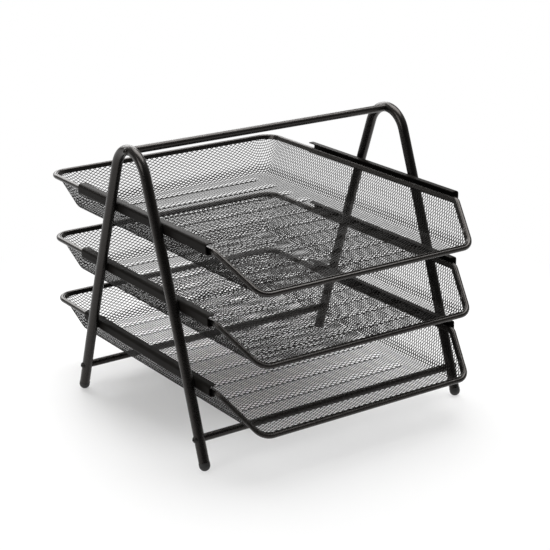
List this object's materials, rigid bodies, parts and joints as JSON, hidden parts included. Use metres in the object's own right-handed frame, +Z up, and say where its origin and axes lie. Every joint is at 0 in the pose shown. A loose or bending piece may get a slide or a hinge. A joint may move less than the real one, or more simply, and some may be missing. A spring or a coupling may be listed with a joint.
{
  "type": "letter tray",
  "caption": "Desktop letter tray stand: A-shaped tube end frames with channel rails that carry sliding wire-rimmed mesh trays.",
  "frame": {"origin": "on the ground, midway between the end frames and midway along the trays at rest", "axes": "+Z up, +X to the right as seen from the front, -Y towards the user, the way the trays slide out"},
  "size_m": [0.3022, 0.357, 0.2724],
  "materials": {
    "frame_paint": "satin black powder coat on bent steel tube",
    "rail_paint": "satin black powder coat on folded steel sheet",
    "tray_wire": "satin black powder coat on round wire",
    "tray_mesh": "satin black powder coat on expanded steel mesh",
    "foot_cap": "matt black soft plastic",
    "screw_black": "black finished dome-head screws",
    "plain_steel": "plain steel, hidden inside the crossbars"
  },
  "bodies": {
    "frame": {"end_frame_left": "frame_paint", "end_frame_right": "frame_paint", "top_crossbar": "frame_paint", "front_crossbar": "frame_paint", "rear_crossbar": "frame_paint", "rail_bottom_left": "rail_paint", "rail_bottom_right": "rail_paint", "rail_middle_left": "rail_paint", "rail_middle_right": "rail_paint", "rail_top_left": "rail_paint", "rail_top_right": "rail_paint", "rail_welds_left": "frame_paint", "rail_welds_right": "frame_paint", "foot_cap_front_left": "foot_cap", "foot_cap_front_right": "foot_cap", "foot_cap_rear_left": "foot_cap", "foot_cap_rear_right": "foot_cap", "top_crossbar_screws": "screw_black", "top_crossbar_inserts": "plain_steel", "front_crossbar_screws": "screw_black", "front_crossbar_inserts": "plain_steel", "rear_crossbar_screws": "screw_black", "rear_crossbar_inserts": "plain_steel"},
    "tray_bottom": {"rim_bottom": "tray_wire", "hem_bottom": "tray_mesh", "basket_bottom": "tray_mesh"},
    "tray_middle": {"rim_middle": "tray_wire", "hem_middle": "tray_mesh", "basket_middle": "tray_mesh"},
    "tray_top": {"rim_top": "tray_wire", "hem_top": "tray_mesh", "basket_top": "tray_mesh"}
  },
  "joints": [
    {"name": "tray_bottom_slide", "type": "slide", "parent": "frame", "child": "tray_bottom", "axis": [0, -1, 0], "range_m": [0, 0.2]},
    {"name": "tray_middle_slide", "type": "slide", "parent": "frame", "child": "tray_middle", "axis": [0, -1, 0], "range_m": [0, 0.2]},
    {"name": "tray_top_slide", "type": "slide", "parent": "frame", "child": "tray_top", "axis": [0, -1, 0], "range_m": [0, 0.2]}
  ]
}
